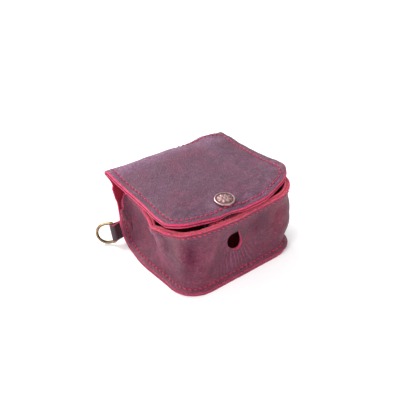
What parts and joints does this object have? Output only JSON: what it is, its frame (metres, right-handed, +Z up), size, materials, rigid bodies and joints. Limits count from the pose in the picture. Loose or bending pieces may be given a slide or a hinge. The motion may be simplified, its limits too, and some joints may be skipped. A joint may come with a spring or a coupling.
{
  "type": "leather accessory case",
  "caption": "Small boxy leather accessory case with a snap-closed hinged lid, a round opening in its front wall, visible stitching and a swinging D-ring on a side tab.",
  "frame": {"origin": "centre of the base's underside, on the surface the case stands on", "axes": "+X right along the front, +Y to the back, +Z up; the front wall with the opening faces -Y"},
  "size_m": [0.0931, 0.0783, 0.0487],
  "materials": {
    "leather_outer_base": "waxed pull-up grain outside, raw edges",
    "leather_outer_wall": "waxed pull-up grain, raw dyed edges",
    "leather_facing": "grain side in, raw dyed edge",
    "leather_tongue": "waxed pull-up grain, raw edges",
    "leather_tab": "waxed pull-up grain, raw edges",
    "brass_ring": "antique, rubbed bright on the outside",
    "leather_lid": "waxed pull-up grain, raw dyed edges",
    "leather_lining": "smooth lining, raw dyed edges",
    "snap_copper": "antique copper, worn on the high parts",
    "snap_socket_metal": "antique plated",
    "snap_spring_wire": "bright spring wire",
    "snap_stud_metal": "antique plated",
    "snap_post_metal": "antique plated",
    "lid_thread": "waxed polyester thread",
    "rim_thread": "waxed polyester thread",
    "seam_thread": "waxed polyester thread",
    "flap_thread": "waxed polyester thread"
  },
  "bodies": {
    "case": {"base_back_panel": "leather_outer_base", "wall_strip": "leather_outer_wall", "rim_facing": "leather_facing", "stud_flap": "leather_tongue", "ring_tab": "leather_tab", "snap_stud": "snap_stud_metal", "snap_post": "snap_post_metal", "rim_thread": "rim_thread", "seam_thread": "seam_thread", "flap_thread": "flap_thread"},
    "lid": {"lid_outer": "leather_lid", "lid_lining": "leather_lining", "lid_thread": "lid_thread", "snap_cap": "snap_copper", "snap_socket": "snap_socket_metal", "snap_spring": "snap_spring_wire"},
    "ring": {"d_ring": "brass_ring"}
  },
  "joints": [
    {"name": "lid_hinge", "type": "hinge", "parent": "case", "child": "lid", "pos_m": [0, 0.0404, 0.04455], "axis": [-1, 0, 0], "range_deg": [0, 175]},
    {"name": "ring_swing", "type": "hinge", "parent": "case", "child": "ring", "pos_m": [-0.0428, 0.03396, 0.00804], "axis": [0, 0.2924, 0.9563], "range_deg": [-45, 110]}
  ]
}
